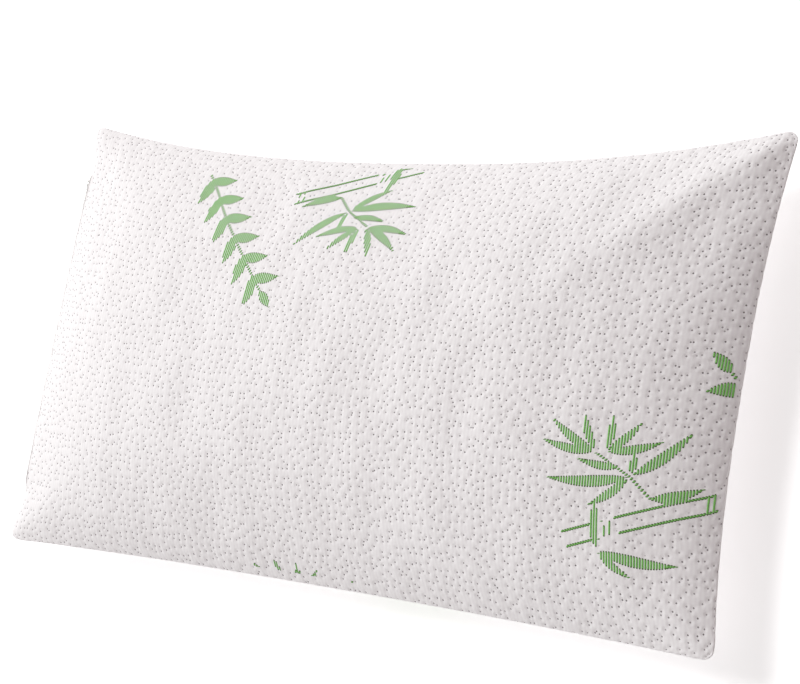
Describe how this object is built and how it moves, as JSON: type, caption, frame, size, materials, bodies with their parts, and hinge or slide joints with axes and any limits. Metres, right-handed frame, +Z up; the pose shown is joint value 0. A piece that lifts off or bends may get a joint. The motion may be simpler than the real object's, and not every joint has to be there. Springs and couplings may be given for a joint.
{
  "type": "bed pillow",
  "caption": "King-size bed pillow: a zipped jacquard knit cover with a woven leaf pattern over a cased foam fill, lying flat with its printed face up.",
  "frame": {"origin": "on the resting plane, under the middle of the pillow's outline", "axes": "+X along the long side, away from the zipper end; +Y towards the top edge of the print; +Z up through the thickness, out of the printed front face"},
  "size_m": [0.8832, 0.4762, 0.1366],
  "materials": {
    "jacquard_knit": "matte quilted knit, white with green jacquard leaves",
    "tricot": "smooth matte knit",
    "memory_foam": "matte open-cell foam",
    "satin_ribbon": "satin weave",
    "polyester_tape": "woven tape",
    "nylon_coil": "semi-gloss monofilament",
    "sewing_thread": "spun polyester",
    "zinc_alloy": "die-cast, nickel plated"
  },
  "bodies": {
    "pillow": {"cover_front_panel": "jacquard_knit", "cover_back_panel": "jacquard_knit", "cover_seam_thread": "sewing_thread", "inner_case_front": "tricot", "inner_case_back": "tricot", "inner_case_seam_thread": "sewing_thread", "foam_fill": "memory_foam", "care_label": "satin_ribbon", "zipper_tape_front": "polyester_tape", "zipper_tape_back": "polyester_tape", "zipper_coil_front": "nylon_coil", "zipper_coil_back": "nylon_coil", "zipper_top_stop_front": "zinc_alloy", "zipper_top_stop_back": "zinc_alloy", "zipper_bottom_stop": "zinc_alloy", "zipper_stitching_front": "sewing_thread", "zipper_stitching_back": "sewing_thread"},
    "slider": {"zipper_slider_body": "zinc_alloy"},
    "pull": {"zipper_pull_tab": "zinc_alloy"}
  },
  "joints": [
    {"name": "zipper_slide", "type": "slide", "parent": "pillow", "child": "slider", "axis": [0, -1, 0], "range_m": [0, 0.336], "deforming": ["zipper_coil_front", "zipper_coil_back"]},
    {"name": "pull_swing", "type": "hinge", "parent": "slider", "child": "pull", "pos_m": [-0.43715, 0.16905, 0.06], "axis": [0, 0, -1], "range_deg": [0, 180]}
  ]
}
